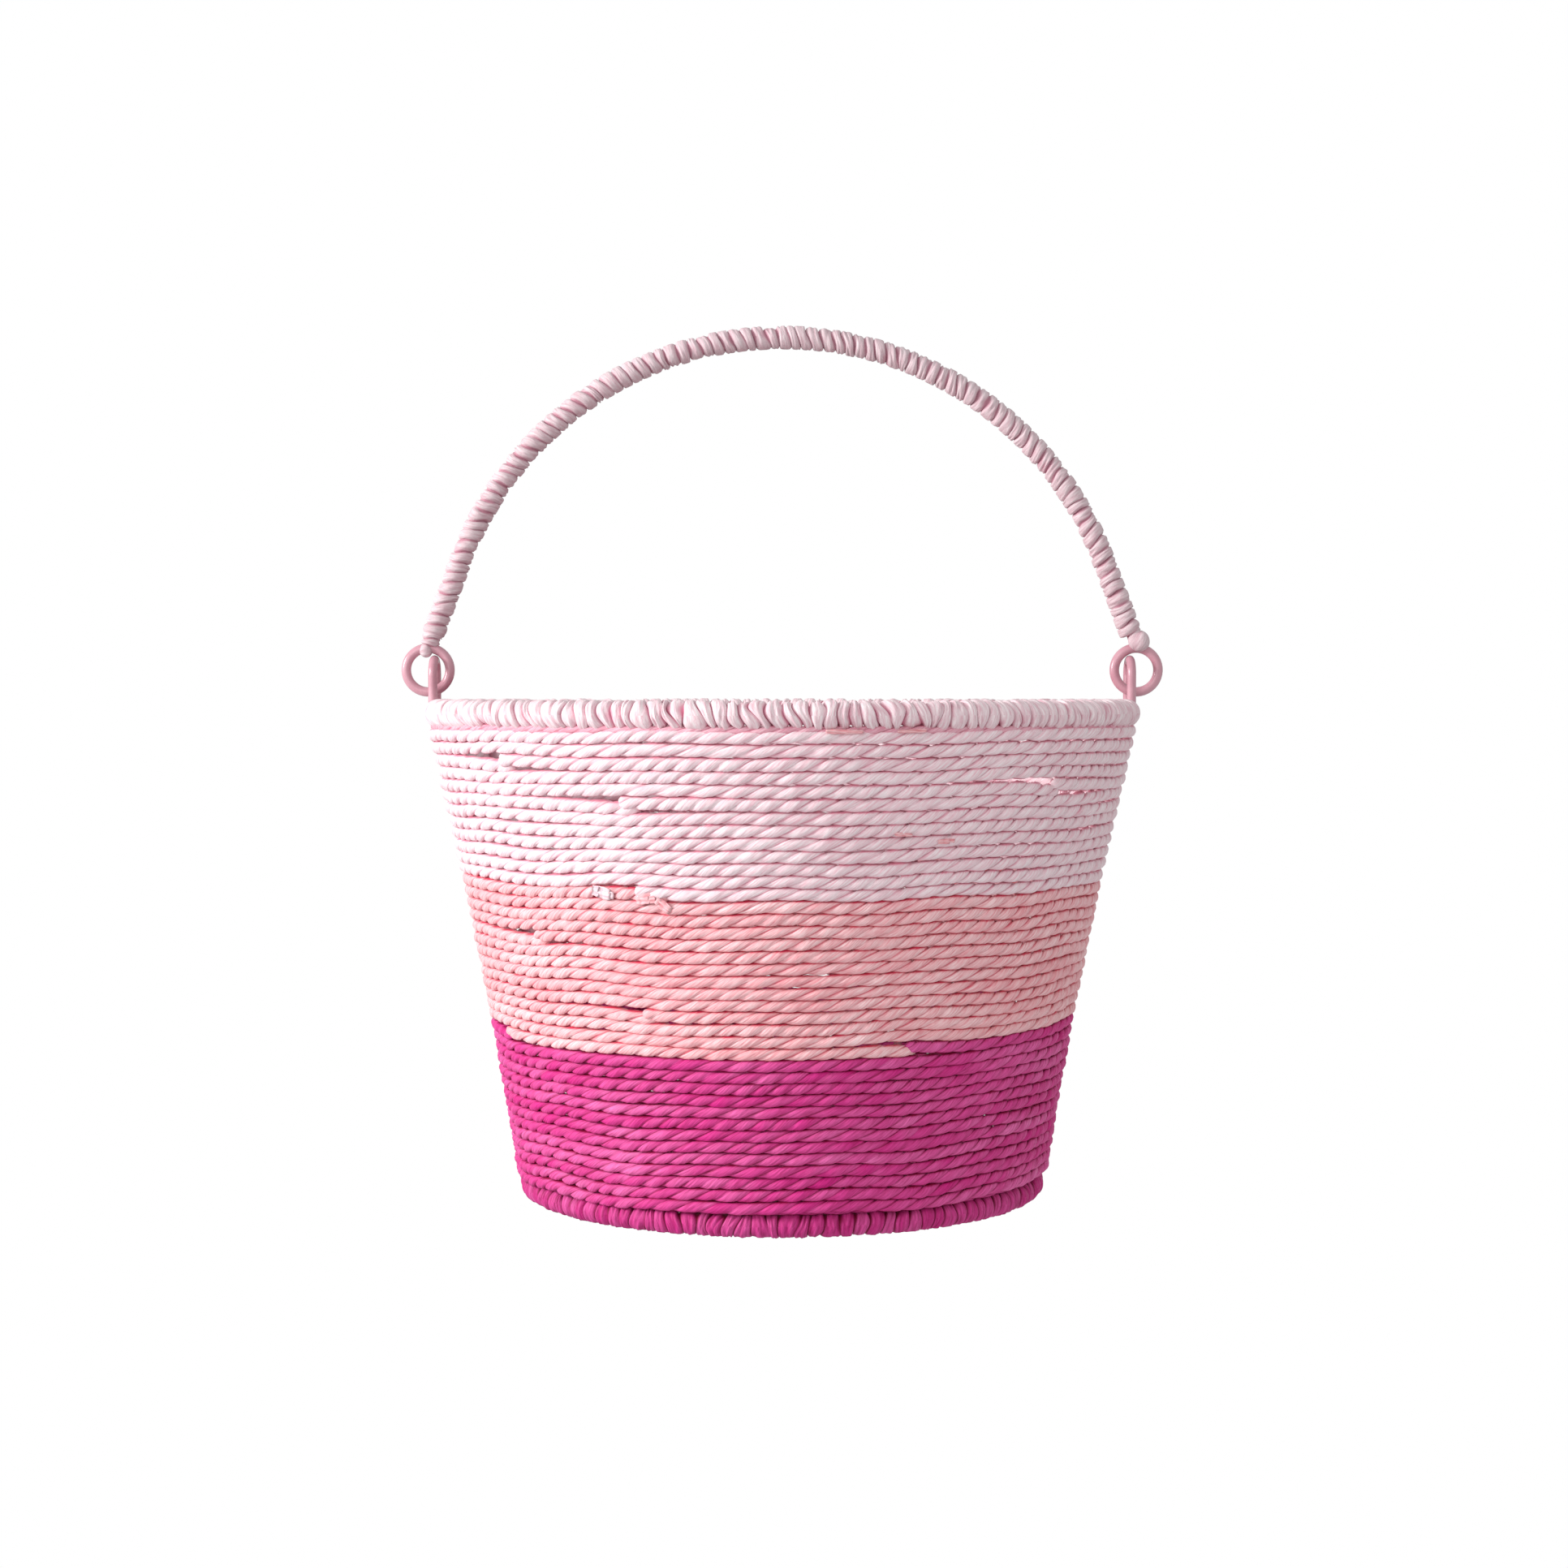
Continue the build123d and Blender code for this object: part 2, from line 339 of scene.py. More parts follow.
def wall_waves(turn):
    """Slow up-and-down waves that neighbouring courses share, from about -1 to 1."""
    total = np.zeros_like(turn)
    for around, down, start in WAVES:
        total += np.cos(2 * math.pi * (around * turn + down * turn) + start)
    return total / math.sqrt(len(WAVES))


def hump(turn, centre, half_length):
    """1 at a turn of the spiral, fading to 0 away from it."""
    return np.exp(-(((turn - centre) / half_length) ** 2))


def spread(turn):
    """How far joints and slits push a course up or down."""
    shift = np.zeros_like(turn)
    for colour, end, overlap, strength in ROPE_LENGTHS:
        middle = end - overlap / 2
        size = strength * course_rise
        shift += 0.20 * size * hump(turn, middle - 1, 0.030)
        shift += 0.09 * size * hump(turn, middle - 2, 0.035)
        shift -= 0.16 * size * hump(turn, middle + 1, 0.030)
        shift -= 0.07 * size * hump(turn, middle + 2, 0.035)
    for centre, half_length, size in SLITS:
        shift += 0.5 * size * hump(turn, centre, half_length)
        shift -= 0.5 * size * hump(turn, centre + 1, half_length)
    return shift


def end_shift(turn, place, size, fade):
    """A push that is full at the end of a length, and fades along it."""
    return size * course_rise * np.exp(-np.abs(turn - place) / fade)


def wall_directions(turn, z):
    """Unit vectors from the axis, out of the wall, and up along the wall at each turn."""
    slope = np.polyval(np.polyder(wall_curve), z)
    up_share = 1 / np.sqrt(1 + slope**2)
    heading = math.pi * (1 - 2 * turn)
    flat = np.stack([np.sin(heading), -np.cos(heading), np.zeros(len(turn))], axis=1)
    vertical = np.array([0, 0, 1.0])
    out = flat * up_share[:, None] - vertical * (slope * up_share)[:, None]
    up = flat * (slope * up_share)[:, None] + vertical * up_share[:, None]
    return flat, out, up


def wall_rope(name, seed, length_index, material):
    """One length of rope in the wall."""
    colour, last, overlap, strength = ROPE_LENGTHS[length_index]
    first, before = ROPE_START, 0.0
    if length_index > 0:
        _, end_before, overlap_before, before = ROPE_LENGTHS[length_index - 1]
        first = end_before - overlap_before
    middle = wall_radius(spiral_height(np.array([(first + last) / 2])))[0]
    count = int((last - first) * 2 * math.pi * middle / ROPE_STEP)
    turn = np.linspace(first, last, count)
    rng = np.random.default_rng(seed + 1000)
    places = (turn - first) * 2 * math.pi * middle
    z = spiral_height(turn)
    radius = wall_radius(z)
    flat, out, up = wall_directions(turn, z)
    lift = SHARED_LIFT * wall_waves(turn)
    lift += OWN_LIFT * wander(rng, places[-1], 22 * MM, places)
    lift += spread(turn)
    lift += end_shift(turn, last, 0.27 * strength, 0.022)
    lift -= end_shift(turn, first, 0.52 * before, 0.022)
    bulge = 0.16 * MM * wander(rng, places[-1], 28 * MM, places)
    bulge += 0.10 * MM * wall_waves(turn + 40)
    bulge += end_shift(turn, last, 0.10 * strength, 0.02)
    bulge -= end_shift(turn, first, 0.14 * before, 0.01)
    reach = [THIN_REACH, BLUNT_REACH]
    if length_index == 0:
        reach[0] = TUCKED_REACH
        bulge -= 0.4 * course_rise * np.exp(-places / TUCKED_REACH)
    if length_index == len(ROPE_LENGTHS) - 1:
        reach[1] = TUCKED_REACH
        bulge -= 0.4 * course_rise * np.exp(-(places[-1] - places) / TUCKED_REACH)
    path = flat * radius[:, None] + np.array([0, 0, 1.0]) * z[:, None]
    path = path + out * bulge[:, None] + up * lift[:, None]
    spacing = spiral_height(turn - 0.5) - spiral_height(turn + 0.5)
    thickness = np.clip(spacing, 0.9 * course_rise, 1.2 * course_rise) * WALL_FULLNESS
    piece = rope_piece(name, seed, path, out, up, thickness, reach)
    finish_piece(piece, "basket", material, [BAND_OF[colour]])


def hidden_strand(name, seed, radius, z, thickness, material):
    """A thin strand that fills the gap between the wall and a wrapped hoop."""
    turn = np.linspace(0, 1, int(2 * math.pi * radius / ROPE_STEP))
    heading = 2 * math.pi * turn
    flat = np.stack([np.sin(heading), np.cos(heading), np.zeros(len(turn))], axis=1)
    up = np.tile([0, 0, 1.0], (len(turn), 1))
    reach = (BLUNT_REACH, BLUNT_REACH)
    piece = rope_piece(name, seed, flat * radius + up * z, flat, up, thickness, reach)
    finish_piece(piece, "basket", material)


# The base coil: where its first turn starts, the distance between its rings of points,
# and how wide its rope is for its spacing.
COIL_START = 0.28
COIL_STEP = 1.25 * MM
COIL_FULLNESS = 1.17


def base_coil(material):
    """The flat coil of rope in the bottom."""
    low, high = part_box("base_rope")
    thickness = high[2] - low[2]
    outer = high[0] - thickness / 2
    turns = round(outer / thickness)
    turn = [COIL_START]
    while turn[-1] < turns:
        turn.append(turn[-1] + COIL_STEP / (2 * math.pi * outer * turn[-1] / turns))
    turn = np.array(turn)
    heading = 2 * math.pi * turn
    places = math.pi * outer / turns * turn**2
    rng = np.random.default_rng(5)
    radius = outer * turn / turns + 0.08 * MM * wander(rng, places[-1], 30 * MM, places)
    flat = np.stack([np.cos(heading), np.sin(heading), np.zeros(len(turn))], axis=1)
    z = (low[2] + high[2]) / 2 + 0.12 * MM * wander(rng, places[-1], 35 * MM, places)
    vertical = np.tile([0, 0, 1.0], (len(turn), 1))
    path = flat * radius[:, None] + vertical * z[:, None]
    reach = (BLUNT_REACH, TUCKED_REACH)
    width = COIL_FULLNESS * thickness
    piece = rope_piece("base_coil", 6, path, vertical, flat, width, reach)
    finish_piece(piece, "basket", material, ["base_rope"])


# --- Wrapped paper strip ---------------------------------------------------------------------


def wrap_edges(rng, count, angle, look):
    """Where each wrap starts at each angle round the bar, counted in wraps."""
    lean = look["lean"] * np.cos(2 * math.pi * np.arange(count) / count + 1.05)
    tilt = look["tilt"] - lean + look["sway"] * rng.uniform(-1, 1, count)
    edge = np.arange(count)[:, None] + tilt[:, None] * np.sin(angle + look["turn"])[None, :]
    for wave in (1, 2, 3):
        size = look["jitter"] / wave * rng.uniform(-1, 1, (count, 1))
        edge = edge + size * np.cos(wave * angle[None, :] + rng.uniform(0, 6.28, (count, 1)))
    return edge + look["spread"] * rng.uniform(-1, 1, (count, 1))


def wrap_sizes(rng, count, angle, look):
    """How full each wrap is at each angle, where 1 is usual."""
    size = 1 + 0.5 * look["uneven"] * rng.uniform(-1, 1, (count, 1, 1))
    for wave in (1, 2):
        start = rng.uniform(0, 6.28, (count, 1, 1))
        amount = look["uneven"] * 0.5 * rng.uniform(-1, 1, (count, 1, 1))
        size = size + amount * np.cos(wave * angle[None, None, :] + start)
    return size


def wrap_creases(rng, count, part, angle):
    """Sharp creases that run across each wrap, from about -1 to 1."""
    crease = np.zeros((count, len(part), len(angle)))
    for _ in range(7):
        start = rng.uniform(0, 6.28, (count, 1, 1))
        swing = rng.integers(-3, 4, (count, 1, 1))
        ridges = rng.uniform(1.0, 3.0, (count, 1, 1))
        amount = rng.uniform(0.3, 1, (count, 1, 1)) / 3.5
        turning = swing * angle[None, None, :] + 6.28 * ridges * part[None, :, None]
        crease += amount * (1 - 2 * np.abs(np.cos((turning + start) / 2)) ** 3)
    return crease


def wraps(name, seed, place, length, section, girth_columns, pitch, closed, look):
    """Strip wrapped round a bar. place(distance) gives centre, out and up arrays.

    look holds: columns, the rings of points in a wrap; tilt, lean, sway and turn, the slant
    of the wraps' edges and how it varies; jitter and spread, the unevenness of the edges;
    pinch, the side where wraps are narrowest; deep and square, the depth and the shape of
    the grooves; uneven and crease, the unevenness of each wrap; full, the wraps' radius as
    a share of the section; and swell, how far they may stand out past it.
    """
    rng = np.random.default_rng(seed)
    count = round(length / pitch)
    across = look["columns"]
    angle = 2 * math.pi * np.arange(girth_columns) / girth_columns
    edge = wrap_edges(rng, count, angle, look)
    if closed:
        following = np.roll(edge, -1, axis=0)
        following[-1] += count
    else:
        edge[0] = 0
        following = np.concatenate([edge[1:], np.full((1, girth_columns), float(count))])
    part = np.arange(across) / across
    lines = edge[:, None, :] + (following - edge)[:, None, :] * part[None, :, None]
    width = (following - edge)[:, None, :]
    pinch = np.clip(-np.sin(angle + look["pinch"]), 0, 1) ** 2
    crown = np.clip(1 - np.abs(2 * part - 1) ** look["square"], 0, 1)[:, None]
    crown = crown ** (0.55 + 0.45 * pinch)
    size = wrap_sizes(rng, count, angle, look)
    crease = wrap_creases(rng, count, part, angle)
    deep = look["deep"] * np.clip(width, 0.6, 1.25) * (1 + 0.35 * pinch)
    height = 1 - deep * (1 - crown[None]) + 0.07 * (size - 1)
    height = height * size**0.35 + look["crease"] * crease * crown[None]
    lines = lines.reshape(-1, girth_columns)
    height = height.reshape(-1, girth_columns)
    if not closed:
        lines = np.concatenate([lines, np.full((1, girth_columns), float(count))])
        height = np.concatenate([height, height[-1:] * 0.8])
        crease = np.concatenate([crease.reshape(-1, girth_columns), np.zeros((1, girth_columns))])
    radius = section * look["full"] * height
    swell = np.clip(radius - section, 0, None)
    radius = np.minimum(radius, section) + look["swell"] * np.tanh(swell / look["swell"])
    centre, out, up = place(lines * length / count)
    points = centre + out * (radius * np.cos(angle))[..., None]
    points = points + up * (radius * np.sin(angle))[..., None]
    points[..., 2] = np.maximum(points[..., 2], 0)
    # Painted shade: darker towards the deep colour in the grooves between wraps.
    cavity_shade = np.clip((1 - height) / look["deep"], 0, 1) ** 1.4
    shade = np.repeat(rng.uniform(-1, 1, count), across)
    if not closed:
        shade = np.append(shade, shade[-1])
    # Lighter or darker wraps at random, plus a painted highlight that lightens the raised creases.
    tone_and_highlight = np.outer(shade, np.ones(girth_columns)) + 0.8 * crease.reshape(-1, girth_columns)
    along = np.arange(len(lines)) * length / len(lines)
    values = {"cavity_shade": cavity_shade, "tone_and_highlight": tone_and_highlight}
    return grid_piece(name, points, along, 2 * math.pi * section, closed, values, True)


def hoop_place(radius, z):
    """Places round a hoop, for wraps: centres, and the directions out and up."""

    def place(distance):
        heading = distance / radius
        out = np.stack([np.sin(heading), -np.cos(heading), np.zeros_like(heading)], axis=-1)
        up = np.zeros_like(out)
        up[..., 2] = 1
        return out * radius + up * z, out, up

    return place


def arm_angle():
    """How far the handle's arms lean in, where they leave the arc for the eyes."""
    rise = eye_z + EYE_RADIUS - arc_z
    return math.atan2(rise, eye_x) + math.acos(arc_radius / math.hypot(eye_x, rise))


def handle_place(start):
    """Places along the handle from the left arm to the right one, and its length."""
    lean = arm_angle()
    rise = eye_z + EYE_RADIUS - arc_z
    arm = math.sqrt(eye_x**2 + rise**2 - arc_radius**2)
    bend = arc_radius * (math.pi - 2 * lean)
    length = 2 * (arm - start) + bend

    def place(distance):
        from_left = distance + start
        on_left = np.clip(arm - from_left, 0, None)
        on_right = np.clip(from_left - arm - bend, 0, None)
        heading = math.pi - lean - np.clip(from_left - arm, 0, bend) / arc_radius
        out = np.stack([np.cos(heading), np.zeros_like(heading), np.sin(heading)], axis=-1)
        tangent = np.stack([np.sin(heading), np.zeros_like(heading), -np.cos(heading)], axis=-1)
        centre = out * arc_radius + tangent * (on_right - on_left)[..., None]
        centre[..., 2] += arc_z
        across = np.zeros_like(out)
        across[..., 1] = -1
        return centre, out, across

    return place, length


def lump(name, seed, centre, axis, length, radius):
    """A gathered lump of paper, with creases that run from end to end."""
    rng = np.random.default_rng(seed)
    columns, rings = 32, 22
    crease_depth = 0.24
    axis = np.array(axis) / np.linalg.norm(axis)
    out = np.cross(axis, [0, 1.0, 0])
    out = out / np.linalg.norm(out)
    across = np.cross(axis, out)
    angle = 2 * math.pi * np.arange(columns) / columns
    part = np.linspace(-0.97, 0.97, rings)
    crease = np.zeros((rings, columns))
    for _ in range(9):
        waves = rng.integers(2, 8)
        bend, start = rng.uniform(-1.5, 1.5), rng.uniform(0, 6.28)
        turning = waves * angle[None, :] + bend * part[:, None] + start
        crease += (1 - 2 * np.abs(np.cos(turning / 2)) ** 3) * rng.uniform(0.2, 1) / 4
    shape = np.sqrt(1 - part**2)[:, None] * (1 + crease_depth * crease)
    ring = out[None, None] * (shape * np.cos(angle))[..., None]
    ring = ring + across[None, None] * (shape * np.sin(angle))[..., None]
    points = centre + ring * radius + axis * (part * length / 2)[:, None, None]
    # Painted shade in the hollows of the creases, and a painted highlight on their ridges.
    values = {"cavity_shade": np.clip(0.3 - 0.6 * crease, 0, 0.8), "tone_and_highlight": crease}
    along = (part + 1) * length / 2
    return grid_piece(name, points, along, 2 * math.pi * radius, False, values)


# Loose bits of paper on the wall: (azimuth from the front in degrees, height, length along
# the wall, width, lean in degrees, colour).
SCRAPS = (
    (-30.5, 102.4 * MM, 7.6 * MM, 3.4 * MM, -12, "pink"),
    (-19.5, 99.2 * MM, 5.5 * MM, 3.0 * MM, -35, "coral"),
    (-22.5, 100.6 * MM, 6.0 * MM, 2.2 * MM, 8, "coral"),
    (26.5, 117.7 * MM, 5.6 * MM, 1.5 * MM, 3, "coral"),
    (19.0, 119.9 * MM, 5.4 * MM, 1.2 * MM, -4, "coral"),
    (9.0, 149.5 * MM, 11.0 * MM, 1.3 * MM, -1, "coral"),
    (19.0, 149.6 * MM, 9.0 * MM, 1.1 * MM, 2, "coral"),
)


def flake(name, seed, azimuth, height, length, width, lean):
    """A crumpled scrap of paper that lies on the wall."""
    thickness, lift = 0.22 * MM, 0.15 * MM
    rng = np.random.default_rng(seed)
    rings, half_columns = 18, 8
    part = np.linspace(-1, 1, rings)
    spread_out = np.linspace(-1, 1, half_columns)
    side = np.concatenate([spread_out, spread_out[::-1]])
    layer = np.concatenate([np.ones(half_columns), np.zeros(half_columns)])
    narrowing = 1 - 0.35 * np.abs(part) ** 3 + 0.18 * wander(rng, 2, 0.3, part + 1)
    x = part[:, None] * length / 2 + 0.12 * width * rng.uniform(-1, 1, (rings, 1))
    x = x + 0 * side[None, :]
    y = side[None, :] * narrowing[:, None] * width / 2
    fold = 0.16 * MM * np.cos(5 * side[None, :] + 2.0 * part[:, None] + rng.uniform(0, 6))
    fold = fold + 0.14 * MM * wander(rng, 2, 0.25, part + 1)[:, None]
    turned = math.radians(lean)
    sideways = x * math.cos(turned) - y * math.sin(turned)
    upward = x * math.sin(turned) + y * math.cos(turned)
    z = height + upward
    reach = wall_radius(z) + course_rise / 2 + lift + fold + thickness * layer[None, :]
    heading = math.radians(azimuth) + sideways / reach
    points = np.stack([reach * np.sin(heading), -reach * np.cos(heading), z], axis=-1)
    # Painted shade where the folds dip, and a painted highlight where they rise.
    values = {"cavity_shade": np.clip(0.15 - fold / MM, 0, 0.6), "tone_and_highlight": fold / MM * 2}
    return grid_piece(name, points, (part + 1) * length / 2, 2 * width, False, values)


# --- Materials --------------------------------------------------------------------------------


def new_material(name):
    """A plain node material, its node tree, and its shader."""
    material = bpy.data.materials.new(name)
    material.use_nodes = True
    tree = material.node_tree
    return material, tree, tree.nodes["Principled BSDF"]


def linear(*colour):
    """A linear colour from 0 to 255 screen values."""
    return tuple((c / 255) ** 2.2 for c in colour) + (1.0,)


def node(tree, kind, inputs=None, **settings):
    """A node with its settings and inputs. An input is a value, or a socket to link."""
    made = tree.nodes.new(kind)
    for label, value in settings.items():
        setattr(made, label, value)
    for label, value in (inputs or {}).items():
        if isinstance(value, bpy.types.NodeSocket):
            tree.links.new(value, made.inputs[label])
        else:
            made.inputs[label].default_value = value
    return made


def mixed(tree, factor, first, second):
    """A colour mix of two colours or colour sockets."""
    made = tree.nodes.new("ShaderNodeMix")
    made.data_type = "RGBA"
    # The node has sockets for numbers and vectors too. These are its factor and its colours.
    sockets = (made.inputs[0], made.inputs[6], made.inputs[7])
    for socket, value in zip(sockets, (factor, first, second)):
        if isinstance(value, bpy.types.NodeSocket):
            tree.links.new(value, socket)
        else:
            socket.default_value = value
    return made.outputs[2]


def ramp(tree, value, low, high, bottom=0.0, top=1.0):
    """A value between low and high stretched to run from bottom to top."""
    inputs = {"Value": value, "From Min": low, "From Max": high, "To Min": bottom, "To Max": top}
    return node(tree, "ShaderNodeMapRange", inputs).outputs["Result"]


PAPER_ROUGH, PAPER_SMOOTH = 0.70, 0.52


def paper(name, light, main, deep, shine=0.42, sheen=0.15):
    """Crinkled paper: main colour, a light colour that varies at random and is a painted highlight
    on raised creases, and a deep colour for painted shade in creases, grooves and fibre dips.
    """
    material, tree, shader = new_material(name)
    cavity_shade = node(tree, "ShaderNodeAttribute", attribute_name="cavity_shade").outputs["Fac"]
    tone_and_highlight = node(tree, "ShaderNodeAttribute", attribute_name="tone_and_highlight").outputs["Fac"]
    strand = node(tree, "ShaderNodeUVMap", uv_map="strand").outputs["UV"]
    fibre_place = node(tree, "ShaderNodeMapping", {"Vector": strand, "Scale": (1.1, 9.0, 1.0)})
    fibre = node(
        tree,
        "ShaderNodeTexNoise",
        {"Vector": fibre_place.outputs["Vector"], "Scale": 2.0, "Detail": 5.0, "Roughness": 0.62},
    ).outputs["Fac"]
    wrinkle_place = node(tree, "ShaderNodeMapping", {"Vector": strand, "Scale": (1.0, 3.2, 1.0)})
    wrinkle = node(
        tree,
        "ShaderNodeTexNoise",
        {"Vector": wrinkle_place.outputs["Vector"], "Scale": 4.5, "Detail": 3.0, "Distortion": 0.8},
    ).outputs["Fac"]
    place = node(tree, "ShaderNodeTexCoord").outputs["Object"]
    patch = node(
        tree, "ShaderNodeTexNoise", {"Vector": place, "Scale": 55.0, "Detail": 2.0}
    ).outputs["Fac"]

    # Main colour towards the light one: at random on ropes and wraps, and a painted highlight on
    # raised creases of wraps, lumps and scraps.
    shade = mixed(tree, ramp(tree, tone_and_highlight, -1.6, 1.6), main, light)
    shade = mixed(tree, ramp(tree, patch, 0.35, 0.7, 0.0, 0.45), shade, main)
    # Painted shade: darker towards the deep colour where the fibre bump dips.
    fibre_dip_shade = mixed(tree, ramp(tree, fibre, 0.34, 0.62, 0.55, 0.0), shade, deep)
    # Painted shade: darkens towards the deep colour in grooves, creases and where courses meet.
    painted_hollow_shade = mixed(tree, ramp(tree, cavity_shade, 0.2, 0.9), fibre_dip_shade, deep)
    tree.links.new(painted_hollow_shade, shader.inputs["Base Color"])
    rough = ramp(tree, fibre, 0.3, 0.7, PAPER_ROUGH, PAPER_SMOOTH)
    tree.links.new(rough, shader.inputs["Roughness"])
    shader.inputs["Specular IOR Level"].default_value = shine
    shader.inputs["Sheen Weight"].default_value = sheen
    shader.inputs["Sheen Roughness"].default_value = 0.5

    fold = node(
        tree, "ShaderNodeBump", {"Height": wrinkle, "Strength": 0.55, "Distance": 0.35 * MM}
    )
    line = node(
        tree,
        "ShaderNodeBump",
        {"Height": fibre, "Normal": fold.outputs["Normal"], "Strength": 0.6, "Distance": 0.22 * MM},
    )
    tree.links.new(line.outputs["Normal"], shader.inputs["Normal"])
    return material


def enamel(name, colour, deep):
    """Glossy paint on wire, with a soft unevenness."""
    material, tree, shader = new_material(name)
    place = node(tree, "ShaderNodeTexCoord").outputs["Object"]
    cloud = node(
        tree, "ShaderNodeTexNoise", {"Vector": place, "Scale": 120.0, "Detail": 3.0}
    ).outputs["Fac"]
    grain = node(
        tree, "ShaderNodeTexNoise", {"Vector": place, "Scale": 900.0, "Detail": 2.0}
    ).outputs["Fac"]
    tint = mixed(tree, ramp(tree, cloud, 0.3, 0.7), colour, deep)
    tree.links.new(tint, shader.inputs["Base Color"])
    rough = ramp(tree, grain, 0.3, 0.7, 0.24, 0.4)
    tree.links.new(rough, shader.inputs["Roughness"])
    shader.inputs["Coat Weight"].default_value = 0.35
    shader.inputs["Coat Roughness"].default_value = 0.2
    bump = node(
        tree, "ShaderNodeBump", {"Height": cloud, "Strength": 0.25, "Distance": 0.25 * MM}
    )
    tree.links.new(bump.outputs["Normal"], shader.inputs["Normal"])
    return material


# --- World, light and camera ------------------------------------------------------------------

CAMERA_DISTANCE = 0.870
CAMERA_RIGHT = 0.6 * MM
CAMERA_ABOVE_RIM = 6.5 * MM
AIM_BELOW_RIM = 23 * MM
# Lens and sensor width in millimetres.
LENS = 61.86
SENSOR = 36
# Strength of the light from all round, where white would be 1.
AMBIENT = 0.62


def add_camera():
    """A camera in front, a little above the rim, that looks slightly down."""
    data = bpy.data.cameras.new("camera")
    data.lens = LENS
    data.sensor_width = SENSOR
    camera = bpy.data.objects.new("camera", data)
    bpy.context.scene.collection.objects.link(camera)
    camera.location = (CAMERA_RIGHT, -CAMERA_DISTANCE, rim_z + CAMERA_ABOVE_RIM)
    aim = Vector((CAMERA_RIGHT, 0, rim_z - AIM_BELOW_RIM))
    camera.rotation_euler = (aim - camera.location).to_track_quat("-Z", "Y").to_euler()
    bpy.context.scene.camera = camera


def add_area(name, place, aim, size, watts, colour):
    """A soft lamp that points at a place."""
    data = bpy.data.lights.new(name, "AREA")
    data.shape = "DISK"
    data.size = size
    data.energy = watts
    data.color = colour
    lamp = bpy.data.objects.new(name, data)
    bpy.context.scene.collection.objects.link(lamp)
    lamp.location = place
    lamp.rotation_euler = (Vector(aim) - lamp.location).to_track_quat("-Z", "Y").to_euler()


def add_world():
    """A world that looks white, and lights the basket more softly than that."""
    world = bpy.data.worlds.new("world")
    world.use_nodes = True
    tree = world.node_tree
    tree.nodes.clear()
    seen = node(tree, "ShaderNodeBackground", {"Color": (1, 1, 1, 1), "Strength": 1.0})
    around = node(tree, "ShaderNodeBackground", {"Color": (1, 1, 1, 1), "Strength": AMBIENT})
    path = node(tree, "ShaderNodeLightPath")
    mix = node(tree, "ShaderNodeMixShader", {"Fac": path.outputs["Is Camera Ray"]})
    tree.links.new(around.outputs["Background"], mix.inputs[1])
    tree.links.new(seen.outputs["Background"], mix.inputs[2])
    output = node(tree, "ShaderNodeOutputWorld")
    tree.links.new(mix.outputs["Shader"], output.inputs["Surface"])
    bpy.context.scene.world = world


# --- Putting it together ----------------------------------------------------------------------

# Papers: light (random variation, and painted highlight on raised creases), main, and deep (painted
# shade in creases, grooves and where courses meet).
RIM_PAPER = paper(
    "rim_paper", linear(250, 238, 240), linear(237, 220, 224), linear(205, 115, 142)
)
GRIP_PAPER = paper(
    "grip_paper", linear(228, 212, 216), linear(211, 192, 196), linear(184, 128, 144)
)
PINK_PAPER = paper(
    "pink_paper", linear(250, 239, 242), linear(242, 223, 228), linear(222, 130, 154)
)
CORAL_PAPER = paper(
    "coral_paper", linear(253, 222, 224), linear(244, 185, 190), linear(210, 30, 74)
)
MAGENTA_PAPER = paper(
    "magenta_paper", linear(244, 122, 188), linear(214, 40, 136), linear(136, 0, 60), 0.22, 0.0
)
BASE_PAPER = paper(
    "base_paper", linear(226, 94, 166), linear(196, 30, 122), linear(118, 0, 52), 0.22, 0.0
)
UNDER_PAPER = paper(
    "under_paper", linear(238, 196, 206), linear(228, 168, 184), linear(200, 92, 122)
)
ROPE_PAPER = {"pink": PINK_PAPER, "coral": CORAL_PAPER, "magenta": MAGENTA_PAPER}
WIRE_ENAMEL = enamel("pink_enamel", linear(206, 156, 168), linear(190, 134, 148))

add_camera()
add_world()
LAMP_AIM = (0, 0, 0.12)
add_area("key", (-1.28, -0.40, 0.50), LAMP_AIM, 0.45, 18.0, (1.0, 0.99, 0.98))
add_area("fill", (-0.8, -1.6, 0.7), LAMP_AIM, 1.4, 9.2, (1.0, 1.0, 1.0))
bpy.context.scene.view_settings.view_transform = "Standard"

WIRE_NODES = (
    ["rim_hoop", "base_hoop", "base_bar_long", "base_bar_front", "base_bar_back"]
    + ["left_eyelet", "right_eyelet", "handle_wire"]
    + [f"rib_{number}" for number in range(1, 9)]
)
for wire_node in WIRE_NODES:
    wire_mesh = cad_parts[wire_node].data
    wire_mesh.materials.clear()
    wire_mesh.materials.append(WIRE_ENAMEL)

for index, (colour, *_) in enumerate(ROPE_LENGTHS):
    wall_rope(f"{colour}_rope_{index + 1}", 41 + index, index, ROPE_PAPER[colour])
base_coil(MAGENTA_PAPER)

RIM_LOOK = dict(
    columns=15, tilt=-0.16, lean=0.16, sway=0.28, turn=0.0, pinch=0.3, jitter=0.28,
    spread=0.24, deep=0.36, uneven=0.40, crease=0.095, full=1.04, square=2.4, swell=0.36 * MM,
)
rim = wraps(
    "rim_wrap", 301, hoop_place(rim_radius, rim_z), 2 * math.pi * rim_radius, rim_section,
    36, 3.8 * MM, True, RIM_LOOK,
)
finish_piece(rim, "basket", RIM_PAPER, ["rim_binding"])

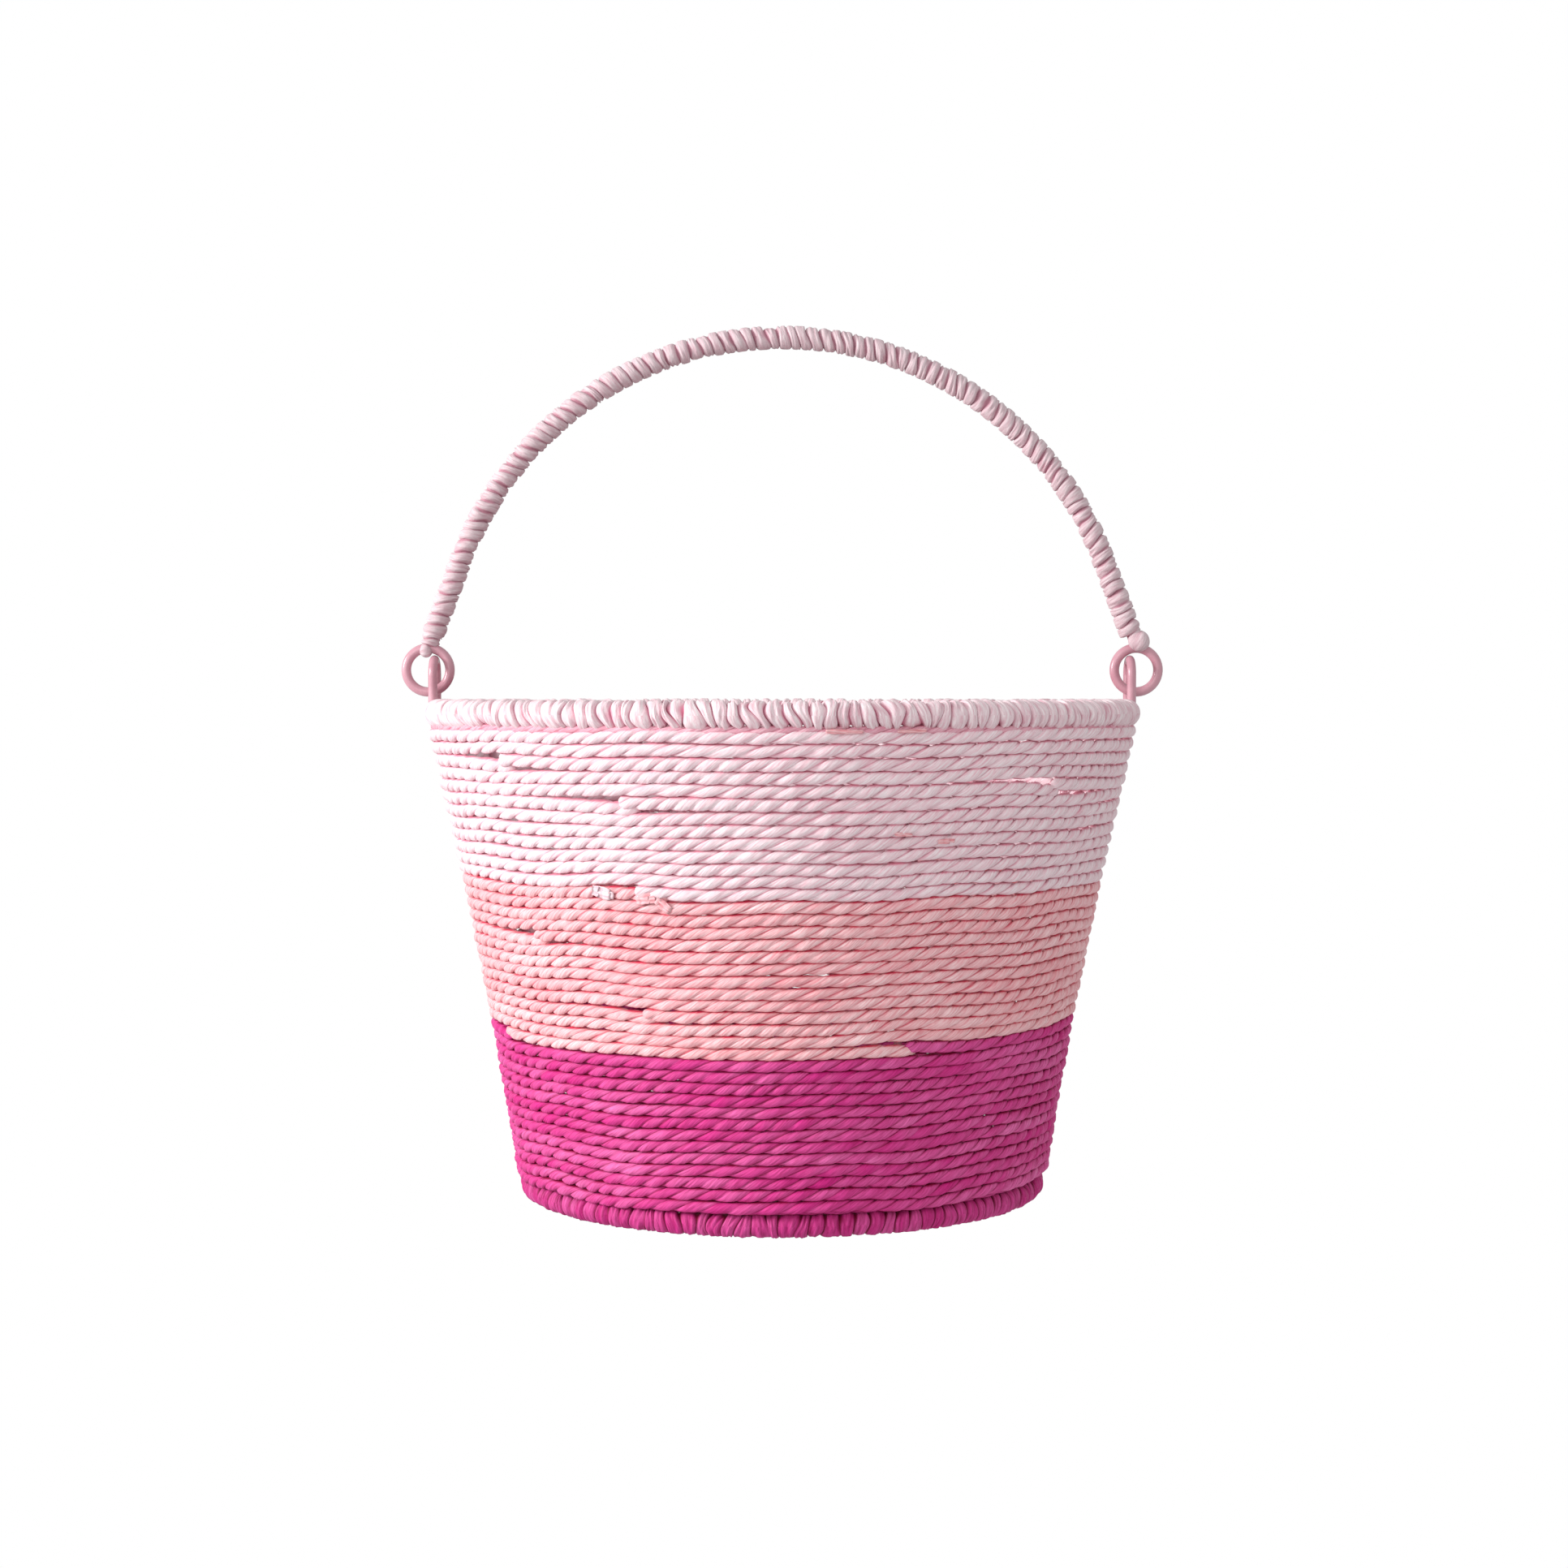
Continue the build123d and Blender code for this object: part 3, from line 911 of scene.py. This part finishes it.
# Strands behind the wraps and the coil's last turn, which close the gaps there.
rim_gap = wall_high + 0.1 * MM
hidden_strand(
    "rim_underlay", 8, wall_radius(rim_gap) - 0.2 * MM, rim_gap, 2.4 * MM,
    UNDER_PAPER,
)
hidden_strand(
    "base_underlay", 9, wall_radius(wall_low) - 1.8 * MM, wall_low + 1.7 * MM, 4.2 * MM,
    BASE_PAPER,
)
_, coil_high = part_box("base_rope")
hidden_strand(
    "base_edge", 10, coil_high[0] - 1.1 * MM, coil_high[2] - 1.8 * MM, 4.6 * MM,
    MAGENTA_PAPER,
)

BASE_LOOK = dict(
    columns=16, tilt=0.05, lean=0.0, sway=0.22, turn=0.0, pinch=3.5, jitter=0.22,
    spread=0.22, deep=0.20, uneven=0.24, crease=0.11, full=1.03, square=2.8, swell=1.0 * MM,
)
base = wraps(
    "base_wrap", 302, hoop_place(base_radius, base_z), 2 * math.pi * base_radius, base_section,
    32, 4.2 * MM, True, BASE_LOOK,
)
finish_piece(base, "basket", BASE_PAPER, ["base_binding"])

HANDLE_LOOK = dict(
    columns=14, tilt=-0.22, lean=0.0, sway=0.18, turn=1.57, pinch=3.14, jitter=0.16,
    spread=0.16, deep=0.27, uneven=0.38, crease=0.10, full=1.03, square=2.9, swell=0.23 * MM,
)
along_handle, handle_length = handle_place(BINDING_START)
grip = wraps(
    "handle_wrap", 303, along_handle, handle_length, handle_section, 32, 3.6 * MM, False,
    HANDLE_LOOK,
)
finish_piece(grip, "handle", GRIP_PAPER, ["handle_binding"])

# The strip is knotted at its right end. At its left end it goes on to the eye, and a loose
# tab hangs into the eye.
knot_place = np.array([eye_x + 0.7 * MM, -1.2 * MM, eye_z + EYE_RADIUS + 2.3 * MM])
knot = lump("end_knot", 310, knot_place, (0.45, 0, 0.9), 6.9 * MM, 3.2 * MM)
finish_piece(knot, "handle", GRIP_PAPER, ["strip_knot"])

left_end, _ = handle_place(0.8 * MM)
TAIL_LOOK = dict(HANDLE_LOOK, tilt=-0.5, full=1.0, swell=0.6 * MM)
tail = wraps(
    "end_wrap", 311, left_end, 4.6 * MM, 3.0 * MM, 32, 2.3 * MM, False, TAIL_LOOK
)
finish_piece(tail, "handle", GRIP_PAPER, ["strip_tail"])

tab_place = np.array([-eye_x - 0.6 * MM, -0.6 * MM, eye_z + EYE_RADIUS - 0.9 * MM])
tab = lump("end_tab", 312, tab_place, (1.0, 0, 0.15), 4.2 * MM, 2.1 * MM)
finish_piece(tab, "handle", GRIP_PAPER)

for number, (azimuth, height, length, width, lean, colour) in enumerate(SCRAPS, 1):
    scrap = flake(f"scrap_{number}", 320 + number, azimuth, height, length, width, lean)
    finish_piece(scrap, "basket", ROPE_PAPER[colour])
